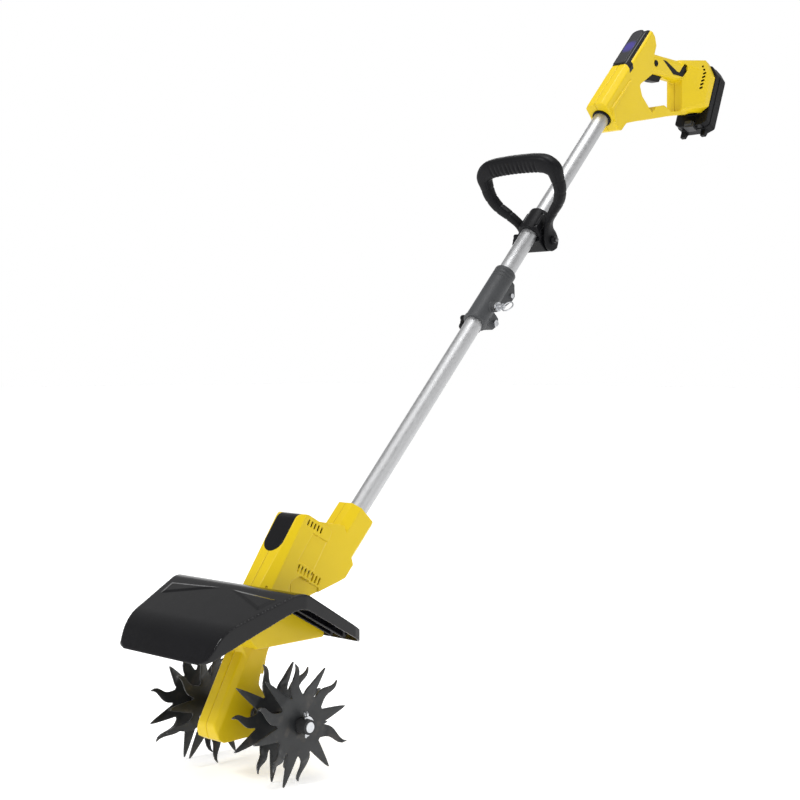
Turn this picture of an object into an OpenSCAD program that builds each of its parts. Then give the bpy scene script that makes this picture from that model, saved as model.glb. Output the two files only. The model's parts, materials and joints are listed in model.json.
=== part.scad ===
// Cordless mini cultivator: four star tines on a worm-driven axle under a guard,
// a two-piece aluminium tube with a quick coupling, a loop handle and a battery grip.
// Millimetres. Origin at the middle of the tine axle, +Z up, -Y away from the user,
// +X along the axle to the user's left. The tool leans as it is held in work.

/* [Tube] */
// Outside diameter of both tubes
tube_d = 28; // [27:0.5:29]
// Wall of both tubes
tube_wall = 1.7; // [1.4:0.1:2]
// Angle of the tubes above the ground
tube_angle = 46.6; // [46:0.1:47]
// Distance of the tube axis in front of the tine axle
tube_n = 20.7; // [20:0.1:21.5]
// Distance along the tube from the axle to where the two tubes meet
tube_split = 796; // [790:1:800]
// Distance along the tube from the axle to the mouth of the rear handle
mouth_s = 1240; // [1238:1:1244]

/* [Head] */
// Angle of the drive shaft above the ground
head_angle = 61; // [60.5:0.5:61.5]
// Half width of the motor housing
housing_w = 29; // [28:0.5:30]
// Half width of the gear leg
leg_w = 22; // [21:0.5:23]
// Wall of the moulded shells
wall = 2.5; // [2:0.1:3]
// Diameter of the motor can
motor_d = 42; // [38:1:43]

/* [Gears] */
// Teeth of the worm wheel
wheel_teeth = 24; // [24:1:24]
// Module of worm and wheel
gear_module = 2; // [2:0.1:2]
// Distance between the drive shaft and the tine axle
gear_centres = 37.5; // [37:0.1:38]

/* [Tines] */
// Diameter over the tips of a tine disc
tine_d = 165; // [150:1:170]
// Sheet thickness of a tine disc
tine_t = 2.5; // [2:0.1:3]
// Diameter of the tine axle
axle_d = 14; // [13:0.5:14]
// Distance of the inner discs from the middle
disc_inner = 66; // [64:1:68]
// Distance of the outer discs from the middle
disc_outer = 109; // [107:1:110]

/* [Guard] */
// Half width of the guard at its front edge
guard_front_w = 96; // [92:1:100]
// Half width of the guard at its crest
guard_crest_w = 131; // [126:1:134]
// Sheet thickness of the guard
guard_t = 3; // [2.5:0.1:3.5]

/* [Handles] */
// Half width of the rear handle's front body
body_w = 22; // [21:0.5:23]
// Half width of the grip
grip_w = 17; // [16:0.5:18]
// Half width of the loop handle over its corners
loop_w = 87; // [82:1:90]
// Height of the loop handle above its pivot
loop_h = 153; // [148:1:156]
// Distance along the tube from the axle to the loop handle's pivot
loop_s = 948; // [940:1:956]

/* [Hidden] */
$fn = 48;
yellow = [0.93, 0.78, 0.05];
black = [0.08, 0.08, 0.09];
grey = [0.35, 0.36, 0.37];
metal = [0.75, 0.76, 0.78];
gap = 0.1;
big = 400;
tube_id = tube_d - 2 * tube_wall;
pin_s = 762;
clamp_s = 751;
clamp_y = 26;
sleeve_s0 = 727;
sleeve_s1 = 842;
sleeve_r = 18.5;
dock_angle = 67.7;
handle_s = 1290;

// ---------- small plane geometry ----------
function unit(v) = v / norm(v);
function left(v) = [-v.y, v.x];
function at(P, i) = P[(i + len(P)) % len(P)];
function flip(P) = [for (i = [len(P) - 1:-1:0]) [-P[i].x, P[i].y]];
function mirrored(P) = concat(P, flip(P));
// Moves each side of the anticlockwise outline P inwards by d
function inset(P, d) = [for (i = [0:len(P) - 1])
    let (n1 = left(unit(P[i] - at(P, i - 1))), n2 = left(unit(at(P, i + 1) - P[i])))
    P[i] + d * (n1 + n2) / (1 + n1 * n2)];
// Rounds corner i of the outline P to the radius R[i]
function fillet(P, R, n = 6) = [for (i = [0:len(P) - 1])
    let (b = P[i], u = unit(at(P, i - 1) - b), v = unit(at(P, i + 1) - b), r = R[i], half = acos(u * v) / 2)
    each r == 0 ? [b] :
        let (c = b + unit(u + v) * r / sin(half), p = b + u * r / tan(half), q = b + v * r / tan(half))
        [for (k = [0:n]) c + r * unit(p + (q - p) * k / n - c)]];
// The outline P moved inwards by d, with its corner radii cut by d as well
function rounded(P, R, d, n = 5) = fillet(inset(P, d), [for (r = R) max(r - d, 0)], n);

// ---------- frames ----------
// Each side view is drawn as [y, z]: y towards the user, z up along the frame's own axis
module lean() { rotate([tube_angle - 90, 0, 0]) children(); }
module on_tube(s) { lean() translate([0, -tube_n, s]) children(); }
module head_frame() { rotate([head_angle - 90, 0, 0]) children(); }
function tube_point(s, y = -tube_n) = [
    s * cos(tube_angle) + y * sin(tube_angle),
    s * sin(tube_angle) - y * cos(tube_angle)];
handle_o = tube_point(handle_s);
module handle_frame() { translate([0, handle_o.x, handle_o.y]) children(); }
rim_low = [269, 10];
rim_len = 108;
module dock_frame() {
    handle_frame() translate([0, rim_low.x, rim_low.y]) rotate([dock_angle - 90, 0, 0]) children();
}
module side(P, x0, x1) { translate([x0, 0, 0]) rotate([90, 0, 90]) linear_extrude(x1 - x0) polygon(P); }
module slab(P, w) { side(P, -w, w); }
module rod_x(y, z, d, x0, x1) { translate([x0, y, z]) rotate([0, 90, 0]) cylinder(d = d, h = x1 - x0); }
module left_half() { intersection() { children(); translate([gap, -2 * big, -2 * big]) cube(8 * big); } }
module right_half() { intersection() { children(); translate([-gap - 8 * big, -2 * big, -2 * big]) cube(8 * big); } }
// Screw along X with its head on the -X side
module side_screw(y, z, x0, x1, d = 3.2) {
    rod_x(y, z, d, x0, x1);
    difference() {
        rod_x(y, z, 2 * d, x0 - 2.5, x0);
        rod_x(y, z, 0.9 * d, x0 - 3, x0 - 1);
    }
}
module side_screw_hole(y, z, x0, x1, d = 3.2) {
    rod_x(y, z, d + 0.3, x0 - 1, x1 + 0.5);
    rod_x(y, z, 2 * d + 0.5, -big, x0);
}

// ---------- guard ----------
guard_crest = [-14, 181];
guard_over = [[99, 100], [99, 113], guard_crest, [-122, 138], [-147, 98]];
function guard_skin(d) = fillet(inset(concat(guard_over, [[-147, 20], [99, 20]]), d),
    [0, 9 - d, 34 - d, 55 - d, 0, 0, 0], 8);
guard_plan = [[guard_front_w - 16, -147], [guard_front_w - 5, -143], [guard_front_w + 1, -134], [guard_front_w + 12, -90],
    [guard_crest_w, -10], [guard_crest_w - 1, 82], [guard_crest_w - 3, 92], [guard_crest_w - 11, 99]];
function guard_outline(d) = inset(concat(guard_plan, [for (i = [len(guard_plan) - 1:-1:0])
    [-guard_plan[i].x, guard_plan[i].y]]), d);
module guard_body(d) {
    intersection() {
        slab(guard_skin(d), big / 2);
        translate([0, 0, 20]) linear_extrude(200) polygon(guard_outline(d));
    }
}
// Everything lower than the guard's rim
guard_rim = fillet([[-200, 0], [200, 0], [200, 40], [90, 102], [-14, 160], [-128, 106], [-200, 72]],
    [0, 0, 0, 0, 30, 0, 0]);
neck = [[-24, 16], [24, 16], [24, 62], [-24, 62]];
neck_top = 172;
// Bolts through the saddle into bosses of the guard: [y, seat, boss, end]
guard_bolt_x = 33;
guard_bolt_rows = [[-42, 112, 156, 165.5], [68, 98.5, 118, 127]];
module at_guard_bolts() {
    for (x = [-guard_bolt_x, guard_bolt_x], $row = guard_bolt_rows) translate([x, $row[0], 0]) children();
}
module guard() color(black) {
    difference() {
        union() {
            difference() {
                guard_body(0);
                difference() {
                    guard_body(guard_t);
                    for (x = [-92, -68, 68, 92]) translate([x - 1, -big / 2, 0]) cube([2, big, big]);
                }
                slab(guard_rim, big);
            }
            intersection() {
                guard_body(1);
                at_guard_bolts() translate([0, 0, $row[2]]) cylinder(d = 12, h = 40);
            }
        }
        translate([0, 0, 60]) linear_extrude(200) polygon(neck);
        at_guard_bolts() cylinder(d = 6.3, h = $row[3] + 0.3);
    }
}
module guard_bolts() color(metal) at_guard_bolts() translate([0, 0, $row[1]]) {
    cylinder(d = 6, h = $row[3] - $row[1]);
    translate([0, 0, -4.2]) cylinder(d = 11.5, h = 4.2, $fn = 6);
}

// ---------- gear leg (head frame) ----------
leg_side = fillet([[-60, -36], [-58.5, -40], [-54, -46], [-46, -53], [-35, -53], [0, -33.4], [12, -26.6],
    [29.2, 0], [27, 12], [4, 27], [-15, 36], [-22, 58], [-22, 150], [-58, 150], [-60, 100]],
    [1, 1, 2, 4, 4, 0, 2, 14, 8, 8, 10, 20, 0, 0, 0], 5);
// Saddle below the guard, in the level frame
saddle_side = fillet([[-64, 134], [-30, 97], [91, 97], [94, 104], [-14, 169.5], [-66, 147]],
    [3, 4, 3, 3, 26, 3], 6);
// Broad curve between the back of the leg and the saddle
web_low = fillet([[-30, 110], [-10, 60], [13, 52], [25, 99], [70, 99], [70, 110]], [0, 0, 0, 24, 0, 0], 8);
saddle_w = 58;
module leg_outer() {
    head_frame() intersection() {
        slab(leg_side, leg_w);
        linear_extrude(big, center = true) polygon(leg_plan);
    }
    slab(saddle_side, saddle_w);
    slab(web_low, leg_w - 1);
    // Neck up through the guard
    translate([0, 0, 120]) linear_extrude(neck_top - 120) polygon(inset(neck, 0.5));
}
leg_plan = fillet([[-leg_w, -52], [-leg_w + 6, -60.5], [leg_w - 6, -60.5], [leg_w, -52], [leg_w, 40], [-leg_w, 40]],
    [4, 3, 3, 4, 0, 0], 4);
shaft_y = -gear_centres;
wheel_r = gear_module * wheel_teeth / 2;
worm_r = gear_centres - wheel_r;
bearing_d = 26;
module leg_cavity() {
    head_frame() {
        // Wheel chamber and worm chamber
        rod_x(0, 0, 2 * (wheel_r + gear_module + 0.9), -9, 9);
        translate([0, shaft_y, -26]) cylinder(r = worm_r + gear_module + 0.9, h = 58);
        translate([-8, shaft_y, -24]) cube([16, -shaft_y - 6, 50]);
        // Bearing seats and the shaft's tunnel
        translate([0, shaft_y, -40]) cylinder(d = bearing_d + 0.1, h = 8);
        translate([0, shaft_y, -45]) cylinder(d = 14, h = 30);
        translate([0, shaft_y, 32]) cylinder(d = 24, h = 90);
        translate([0, shaft_y, 62]) cylinder(d = bearing_d + 0.1, h = 8);
        translate([0, shaft_y, 60]) cylinder(d = 25, h = 200);
        translate([0, shaft_y, 150]) cylinder(d = 34, h = 200);
    }
    // Axle bearings and seals
    rod_x(0, 0, 24.1, -leg_w + 4, leg_w - 4);
    rod_x(0, 0, 22.1, -leg_w - 1, leg_w + 1);
    for (p = leg_screw_points) head_frame() side_screw_hole(p.x, p.y, -leg_w + 4, 14);
    at_guard_bolts() {
        cylinder(d = 6.3, h = big);
        cylinder(d = 13.5, h = $row[1]);
        translate([0, 0, $row[2] - 0.3]) cylinder(d = 12.8, h = big);
    }
}
leg_screw_points = [[-54, -30], [-54, 48], [-27, 84], [-55, 108]];
module leg_shell() difference() {
    union() {
        difference() {
            leg_outer();
            // The saddle is hollow beside the leg
            for (m = [0, 1]) mirror([m, 0, 0]) side(inset(saddle_side, 3), leg_w + 2, saddle_w - 3);
        }
        intersection() {
            leg_outer();
            at_guard_bolts() cylinder(d = 20, h = big);
        }
    }
    leg_cavity();
    // Stays clear of the guard's skin except in the neck
    difference() {
        slab([[-200, 60], [200, 60], [200, 300], [-200, 300]], big / 2);
        slab(guard_skin(guard_t + 0.2), big);
        translate([0, 0, 60]) linear_extrude(200) polygon(inset(neck, 0.4));
    }
}
module leg_left() color(yellow) left_half() leg_shell();
module leg_right() color(yellow) right_half() leg_shell();
module leg_screws() color(metal) head_frame() for (p = leg_screw_points) side_screw(p.x, p.y, -leg_w + 4, 14);

// ---------- motor housing ----------
motor_side = [[-77.5, 140], [-7, 140], [6, 276], [-60.5, 276]];
function octagon(wx, y0, y1, c) = [[-wx + c, y0], [wx - c, y0], [wx, y0 + c], [wx, y1 - c], [wx - c, y1],
    [-wx + c, y1], [-wx, y1 - c], [-wx, y0 + c]];
web_side = [[-95, 128], [-50, 142], [-30, 178], [-2, 222], [6.3, 236], [6.3, 260], [-47, 290], [-92, 262]];
module motor_block(d) {
    head_frame() intersection() {
        slab(fillet(inset(motor_side, d), [0, 0, 8 - d, 16 - d]), housing_w - d);
        union() {
            // The front edges are chamfered along the sloping front face
            hull() {
                translate([0, 0, 130]) linear_extrude(1) polygon(inset(octagon(housing_w, -78.7, 60, 13), d));
                translate([0, 0, 280]) linear_extrude(1) polygon(inset(octagon(housing_w, -59.5, 60, 7), d));
            }
        }
    }
}
module housing_outer(d) {
    motor_block(d);
    lean() {
        slab(inset(web_side, d), 25 - d);
        translate([0, 0, 234 + d]) linear_extrude(97 - 2 * d) polygon(inset(octagon(25, -47.7, 6.3, 11), d));
    }
}
housing_screw_points = [[-62, 172], [-62.5, 206], [-10, 176]];
socket_screw_points = [[-40, 317], [0, 306]];
// A row of n upright slots through the side walls, in the head frame
module vent_row(y0, z0, n, pitch, h) {
    for (i = [0:n - 1]) translate([-big, y0 + i * pitch, z0]) cube([2 * big, 2.6, h]);
}
module housing_cavity() {
    motor_block(wall);
    lean() {
        slab(inset(web_side, 3.5), 20);
        translate([0, -tube_n, 232]) cylinder(d = 25, h = 60);
        translate([0, -tube_n, 252]) cylinder(d = tube_d + 0.1, h = 120);
        for (p = socket_screw_points) side_screw_hole(p.x, p.y, -17, 18);
    }
    head_frame() {
        vent_row(-45, 262, 5, 7, 9);
        vent_row(-32, 197, 8, 7, 11);
    }
}
// Side hollows: a panel between the rows of vents and a scoop below the lower row
module hollows(grow, deeper) {
    head_frame() {
        translate([housing_w - 6.5 - deeper, 0, 0]) rotate([90, 0, 90]) linear_extrude(20)
            polygon(inset([[-34, 148], [30, 148], [30, 170], [22, 194], [-22, 194], [-34, 182]], -grow));
        translate([housing_w - 3 - deeper, 0, 0]) rotate([90, 0, 90]) linear_extrude(20)
            polygon(inset([[-36, 211], [17, 211], [17, 257], [-28, 257]], -grow));
    }
}
module motor_mounts() {
    // Rings that hold the motor can
    head_frame() for (z = [198, 250]) intersection() {
        slab(inset(motor_side, wall - 0.1), housing_w - wall + 0.1);
        difference() {
            translate([-big / 2, -big / 2, z]) cube([big, big, 5]);
            translate([0, shaft_y, z - 1]) cylinder(d = motor_d + 0.1, h = 7);
        }
    }
}
module inlay_cut(d) {
    // Oblong area of the front face that runs over the top edge
    head_frame() rotate([90, 0, 0]) linear_extrude(120) union() {
        translate([0, 229]) circle(r = 19 - d);
        translate([-19 + d, 229]) square([38 - 2 * d, 80]);
    }
}
module inlay_skin(d0, d1) {
    head_frame() difference() {
        slab(fillet(inset(motor_side, d0), [0, 0, 8 - d0, 16 - d0]), housing_w);
        slab(fillet(inset(motor_side, d1), [0, 0, 8 - d1, 16 - d1]), housing_w + 1);
        translate([-big / 2, -48, 0]) cube(big);
    }
}
module housing_shell() {
    difference() {
        union() {
            difference() {
                housing_outer(0);
                housing_cavity();
            }
            motor_mounts();
            // Lining behind the hollows
            for (m = [0, 1]) mirror([m, 0, 0]) intersection() {
                motor_block(1);
                hollows(2.4, 2.2);
            }
            intersection() {
                motor_block(1);
                head_frame() for (p = housing_screw_points) rod_x(p.x, p.y, 7, -big, big);
            }
        }
        housing_cut();
        for (m = [0, 1]) mirror([m, 0, 0]) hollows(0, 0);
        head_frame() for (p = housing_screw_points) side_screw_hole(p.x, p.y, -17, 17);
        intersection() {
            inlay_cut(0);
            inlay_skin(-1, 1.6);
        }
    }
}
// Room for the guard, the leg's neck and the drive shaft
module housing_cut() {
    slab(guard_skin(-0.2), big);
    translate([-big, -big, -100]) cube([2 * big, 2 * big, 200]);
    translate([0, 0, 60]) linear_extrude(neck_top + 0.4 - 60) polygon(inset(neck, -0.1));
}
module housing_left() color(yellow) left_half() housing_shell();
module housing_right() color(yellow) right_half() housing_shell();
module housing_inlay() color(black) intersection() {
    inlay_cut(0.2);
    inlay_skin(0, 1.5);
}
module housing_screws() color(metal) {
    head_frame() for (p = housing_screw_points) side_screw(p.x, p.y, -17, 17);
    lean() for (p = socket_screw_points) side_screw(p.x, p.y, -17, 18);
}

// ---------- motor and drive ----------
motor_z0 = 192;
motor_z1 = 258;
module motor_can() color(metal) head_frame() translate([0, shaft_y, 0]) difference() {
    union() {
        translate([0, 0, motor_z0]) cylinder(d = motor_d, h = motor_z1 - motor_z0);
        translate([0, 0, motor_z0 - 5]) cylinder(d = 17, h = 6);
        translate([0, 0, motor_z1 - 1]) cylinder(d = 13, h = 6);
    }
    translate([0, 0, motor_z0 + 2]) cylinder(d = motor_d - 4, h = motor_z1 - motor_z0 - 4);
    translate([0, 0, motor_z0 - 6]) cylinder(d = 5.1, h = 80);
    for (a = [0:60:300]) rotate(a) translate([motor_d / 2 - 6, 0, motor_z0 - 1]) cylinder(d = 4, h = 4);
}
module motor_rotor() color([0.72, 0.45, 0.2]) head_frame() translate([0, shaft_y, 0]) {
    translate([0, 0, 178]) cylinder(d = 5, h = 83);
    difference() {
        translate([0, 0, 202]) cylinder(d = 30, h = 38);
        for (a = [0:45:315]) rotate(a) translate([9, -1.5, 201]) cube([8, 3, 40]);
    }
    translate([0, 0, 242]) cylinder(d = 16, h = 10);
}
worm_lead = PI * gear_module;
worm_root = worm_r - 1.25 * gear_module;
worm_tip = worm_r + 0.8 * gear_module;
worm_turns = 5;
worm_steps = 24;
// Thread as one band of four-sided rings; the flanks slope and leave backlash to the wheel
function worm_ring(k) = let (a = 360 * k / worm_steps, z = worm_lead * (k / worm_steps - worm_turns / 2))
    [for (q = [[worm_root - 0.6, -1.9], [worm_tip, -0.7], [worm_tip, 0.7], [worm_root - 0.6, 1.9]])
        [q.x * cos(a), q.x * sin(a), z + q.y]];
worm_count = worm_turns * worm_steps;
module worm_thread() {
    points = [for (k = [0:worm_count]) each worm_ring(k)];
    sides = [for (k = [0:worm_count - 1], j = [0:3]) [4 * k + j, 4 * k + 4 + j, 4 * k + 4 + (j + 1) % 4,
        4 * k + (j + 1) % 4]];
    polyhedron(points, concat(sides, [[3, 2, 1, 0], [for (j = [0:3]) 4 * worm_count + j]]), convexity = 8);
}
module drive_shaft() color(metal) head_frame() translate([0, shaft_y, 0]) {
    difference() {
        union() {
            translate([0, 0, -40]) cylinder(d = 10, h = 205);
            translate([0, 0, -24]) cylinder(r = worm_root, h = 48);
            // Muff that takes the motor's shaft
            translate([0, 0, 158]) cylinder(d = 14, h = 24);
        }
        translate([0, 0, 176]) cylinder(d = 5.1, h = 10);
    }
    rotate(worm_phase) worm_thread();
}
// Turned so that a thread stands between two teeth of the wheel
worm_phase = 90;
module ring(d_out, d_in, h) { difference() {
    cylinder(d = d_out, h = h);
    translate([0, 0, -1]) cylinder(d = d_in, h = h + 2);
} }
module shaft_bearings() color(grey) head_frame() for (z = [-40, 62])
    translate([0, shaft_y, z]) ring(bearing_d, 10.1, 8);

// ---------- tine axle ----------
axle_end = 128;
clip_x = 119;
hub_end = 127;
module tine_axle() color(metal) {
    difference() {
        union() {
            rod_x(0, 0, axle_d, -axle_end, axle_end);
            rod_x(0, 0, 20, -8.8, -7.6);
        }
        for (m = [-1, 1]) translate([m * clip_x, 0, -big / 2]) cylinder(d = 3.4, h = big);
        translate([-7, -axle_d / 2, -2]) cube([14, 3, 4]);
    }
}
// Wheel with its teeth leaning at the worm's lead angle
lead_angle = atan(worm_lead / (2 * PI * worm_r));
module worm_wheel() color([0.78, 0.6, 0.25]) head_frame() {
    difference() {
        rod_x(0, 0, 2 * (wheel_r - 1.1 * gear_module), -7, 7);
        rod_x(0, 0, axle_d + 0.02, -8, 8);
        for (a = [0:60:300]) rotate([a, 0, 0]) rod_x(14, 0, 6, -8, 8);
    }
    for (i = [0:wheel_teeth - 1]) rotate([360 * i / wheel_teeth, 0, 0])
        translate([0, -wheel_r, 0]) rotate([0, lead_angle, 0]) wheel_tooth();
}
module wheel_tooth() {
    rotate([90, 0, 90]) linear_extrude(11, center = true)
        polygon([[2.6, -1.7], [2.6, 1.7], [0, 1.15], [-1.5, 0.6], [-1.5, -0.6], [0, -1.15]]);
}
module axle_bearings() color(grey) for (x = [-18, 10]) translate([x, 0, 0]) rotate([0, 90, 0]) ring(24, axle_d + 0.1, 8);
module axle_seals() color(black) for (x = [-21.8, 18.2]) translate([x, 0, 0]) rotate([0, 90, 0]) ring(22, axle_d + 0.1, 3.6);

// ---------- tines ----------
spikes = 12;
tine_r = tine_d / 2;
tine_core = 0.5 * tine_r;
// Half of a spike's width at the fraction f of its length
function spike_half(f) = 9 * pow(1 - f, 0.8) + 0.5;
// Sideways wave of the curled spikes
function spike_wave(f, wavy) = wavy ? 5.5 * sin(330 * f) * (0.35 + 0.65 * f) : 0;
function spike_edge(i, f, e) = let (r = tine_core * 0.93 + (tine_r - tine_core * 0.93) * f,
    wavy = i % 2 == 1, w = spike_wave(f, wavy) + e * spike_half(f), a = 360 * i / spikes)
    [r * cos(a) - w * sin(a), r * sin(a) + w * cos(a)];
tine_outline = [for (i = [0:spikes - 1]) each concat([for (f = [0:0.125:1]) spike_edge(i, f, -1)],
    [for (f = [1:-0.125:0]) spike_edge(i, f, 1)])];
module tine_disc(x, turn) color(black) translate([x - tine_t / 2, 0, 0]) rotate([turn, 0, 0]) rotate([90, 0, 90])
    difference() {
        linear_extrude(tine_t) union() {
            polygon(tine_outline);
            circle(r = tine_core);
        }
        translate([0, 0, -1]) cylinder(d = 20.04, h = tine_t + 2);
    }
module tine_disc_left_outer() tine_disc(disc_outer, 8);
module tine_disc_left_inner() tine_disc(disc_inner, 21);
module tine_disc_right_inner() tine_disc(-disc_inner, -4);
module tine_disc_right_outer() tine_disc(-disc_outer, 15);
module tine_hubs() color(black) for (m = [-1, 1]) difference() {
    rod_x(0, 0, 20, m > 0 ? 26 : -hub_end, m > 0 ? hub_end : -26);
    rod_x(0, 0, axle_d + 0.04, -big, big);
    translate([m * clip_x, 0, -big / 2]) cylinder(d = 3.4, h = big);
}
module retaining_clips() color(metal) for (m = [-1, 1]) translate([m * clip_x, 0, 0]) {
    translate([0, 0, -15]) cylinder(d = 3.2, h = 31);
    translate([0, 0, 16]) rotate([90, 0, 0]) translate([0, 0, -1.6]) ring(8, 4.8, 3.2);
    // Spring side, bowed round the hub
    rotate([90, 0, 90]) difference() {
        translate([0, 0, -1.6]) ring(27.2, 20.8, 3.2);
        translate([-20, -20, -2]) cube([20, 40, 4]);
    }
}

// ---------- tubes and cable ----------
module tube(s0, s1) { on_tube(s0) ring(tube_d, tube_id, s1 - s0); }
end_s = 744;
module lower_tube() color(metal) tube(252, end_s);
// End of the lower tube: two halves pressed into it that leave a keyway for the lock pin between them
module end_piece() difference() {
    union() {
        on_tube(end_s) cylinder(d = tube_d, h = tube_split - 0.5 - end_s);
        on_tube(end_s - 18) cylinder(d = tube_id - 0.06, h = 19);
    }
    on_tube(end_s - 20) cylinder(d = 17, h = 100);
    on_tube(end_s - 20) translate([0, -3.4, 0]) cube([20, 6.8, 100]);
}
module tube_end_front() color(grey) intersection() {
    end_piece();
    on_tube(end_s - 30) translate([-20, -40 - gap, 0]) cube([40, 40, 100]);
}
module tube_end_back() color(grey) intersection() {
    end_piece();
    on_tube(end_s - 30) translate([-20, gap, 0]) cube([40, 40, 100]);
}
module upper_tube() color(metal) tube(tube_split, 1300);
module lower_cable() color([0.15, 0.15, 0.16]) on_tube(262) cylinder(d = 7, h = 498);
module upper_cable() color([0.15, 0.15, 0.16]) on_tube(832) cylinder(d = 7, h = 452);
module lower_connector() color([0.9, 0.9, 0.88]) on_tube(760) difference() {
    cylinder(d = 15, h = 34);
    translate([0, 0, 10]) cylinder(d = 9, h = 30);
    for (a = [0, 180]) rotate(a) translate([0, 6, 8]) cube([3, 3, 30]);
}
module upper_connector() color([0.9, 0.9, 0.88]) on_tube(771) {
    cylinder(d = 8, h = 26);
    translate([0, 0, 25.5]) cylinder(d = 20, h = 35.5);
}
module tube_ring() color(black) on_tube(mouth_s - 3) ring(34, tube_d + 0.1, 9);

// ---------- coupling ----------
module coupling_sleeve() color(grey) lean() difference() {
    union() {
        translate([0, -tube_n, sleeve_s0]) cylinder(r = sleeve_r, h = sleeve_s1 - sleeve_s0);
        translate([0, -tube_n, sleeve_s0]) cylinder(r = sleeve_r + 1.2, h = 5);
        translate([0, -tube_n, 0]) side([[10, 776], [24, 776], [32, 796], [38, 814], [38, 824], [24, 838], [10, 838]], -8, 8);
        translate([0, -tube_n, 0]) side(fillet([[8, 738], [30, 738], [34, 751], [30, 764], [8, 764]], [0, 5, 5, 5, 0]), -12, 12);
        translate([0, -tube_n, pin_s]) rotate([0, 90, 0]) cylinder(d = 17, h = 26);
    }
    translate([0, -tube_n, sleeve_s0 - 1]) cylinder(d = tube_d + 0.12, h = sleeve_s1 - sleeve_s0 + 2);
    for (s = [820, 827, 834]) translate([0, -tube_n, s]) ring(2 * sleeve_r + 2, 2 * sleeve_r - 2, 2.4);
    // Slit that lets the lower end close on the tube
    translate([-1, -tube_n, sleeve_s0 - 1]) cube([2, 60, 46]);
    translate([0, -tube_n, 0]) rod_x(clamp_y, clamp_s, 6.2, -big, big);
    translate([0, -tube_n, 0]) rod_x(30, 818, 4.3, -big, big);
    translate([0, -tube_n, pin_s]) rotate([0, 90, 0]) cylinder(d = 6.4, h = 40);
    translate([19.5, -tube_n, pin_s]) rotate([0, 90, 0]) cylinder(d = 12.4, h = 40);
}
module coupling_screw() color(metal) lean() translate([0, -tube_n, 0]) {
    rod_x(30, 818, 4, -10, 8);
    rod_x(30, 818, 8, 8.05, 11);
}
module lock_pin() color(metal) on_tube(pin_s) rotate([0, 90, 0]) {
    translate([0, 0, 12.6]) cylinder(d = 6, h = 30);
    translate([0, 0, 20]) cylinder(d = 12, h = 7);
    translate([0, 0, 27]) cylinder(d = 15, h = 4);
    translate([0, 0, 31]) cylinder(d = 10, h = 9);
    // Pull ring through the pin's head
    translate([0, 0, 40]) rotate([90, 0, 0]) translate([0, 9, -0.8]) ring(21, 17.6, 1.6);
}
module clamp_bolt() color(metal) lean() translate([0, -tube_n, 0]) {
    rod_x(clamp_y, clamp_s, 6, -34, 16);
    rotate([0, 0, 0]) translate([12.1, clamp_y, clamp_s]) rotate([0, 90, 0]) cylinder(d = 11.5, h = 5, $fn = 6);
}
module clamp_knob() color(black) lean() translate([0, -tube_n, 0]) difference() {
    union() {
        rod_x(clamp_y, clamp_s, 20, -34, -13);
        rod_x(clamp_y, clamp_s, 27, -50, -28);
        for (a = [0:60:300]) translate([0, clamp_y, clamp_s]) rotate([a, 0, 0]) rod_x(13.5, 0, 11, -48, -29);
    }
    rod_x(clamp_y, clamp_s, 6.04, -35, -12);
}

// ---------- loop handle ----------
loop_y = 26.7;
loop_tilt = atan(40 / 118);
module loop_frame() { on_tube(loop_s) translate([0, loop_y, 0]) rotate([90 - loop_tilt, 0, 0]) children(); }
clamp_z = -14;
clamp_h = 46;
module loop_clamp() color(black) on_tube(loop_s) difference() {
    union() {
        intersection() {
            translate([0, 0, clamp_z]) cylinder(r = 20, h = clamp_h);
            translate([-30, -30, -40]) cube([60, 30 - gap, 90]);
        }
        for (m = [-1, 1]) translate([m > 0 ? 12 : -20, -12, -11]) cube([8, 12 - gap, 40]);
    }
    translate([0, 0, -40]) cylinder(d = tube_d + 0.1, h = 90);
    for (x = [-16.4, 16.4], z = [-5, 23]) translate([x, -20, z]) rotate([-90, 0, 0]) cylinder(d = 4.2, h = 40);
}
module loop_clamp_cap() color(black) on_tube(loop_s) difference() {
    union() {
        intersection() {
            translate([0, 0, clamp_z]) cylinder(r = 20, h = clamp_h);
            translate([-30, gap, -40]) cube([60, 30, 90]);
        }
        for (m = [-1, 1]) translate([m > 0 ? 12 : -20, gap, -11]) cube([8, 9, 40]);
        side(fillet([[8, -22], [34, -20], [44, -8], [44, 8], [34, 18], [8, 24]], [0, 6, 8, 8, 6, 0]), -20, 20);
    }
    translate([0, 0, -40]) cylinder(d = tube_d + 0.1, h = 90);
    rod_x(loop_y, 0, 8.2, -30, 30);
    for (x = [-16.4, 16.4], z = [-5, 23]) translate([x, -20, z]) rotate([-90, 0, 0]) {
        cylinder(d = 4.2, h = 60);
        translate([0, 0, 29.2]) cylinder(d = 8, h = 30);
    }
}
module loop_clamp_screws() color(metal) on_tube(loop_s) for (x = [-16.4, 16.4], z = [-5, 23])
    translate([x, -11.5, z]) rotate([-90, 0, 0]) {
        cylinder(d = 4, h = 21);
        translate([0, 0, 20.8]) cylinder(d = 7, h = 3);
    }
loop_out = fillet([[22, -14], [34, 14], [57, 45], [76, 70], [loop_w, 112], [70, loop_h], [-70, loop_h],
    [-loop_w, 112], [-76, 70], [-57, 45], [-34, 14], [-22, -14]],
    [0, 24, 30, 24, 30, 26, 26, 30, 24, 30, 24, 0], 6);
loop_in = fillet([[20.3, -20], [20.3, 24], [36, 42], [52, 62], [62, 108], [58, 120.5], [-58, 120.5], [-62, 108],
    [-52, 62], [-36, 42], [-20.3, 24], [-20.3, -20]], [0, 14, 30, 20, 10, 10, 10, 10, 20, 30, 14, 0], 6);
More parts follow.
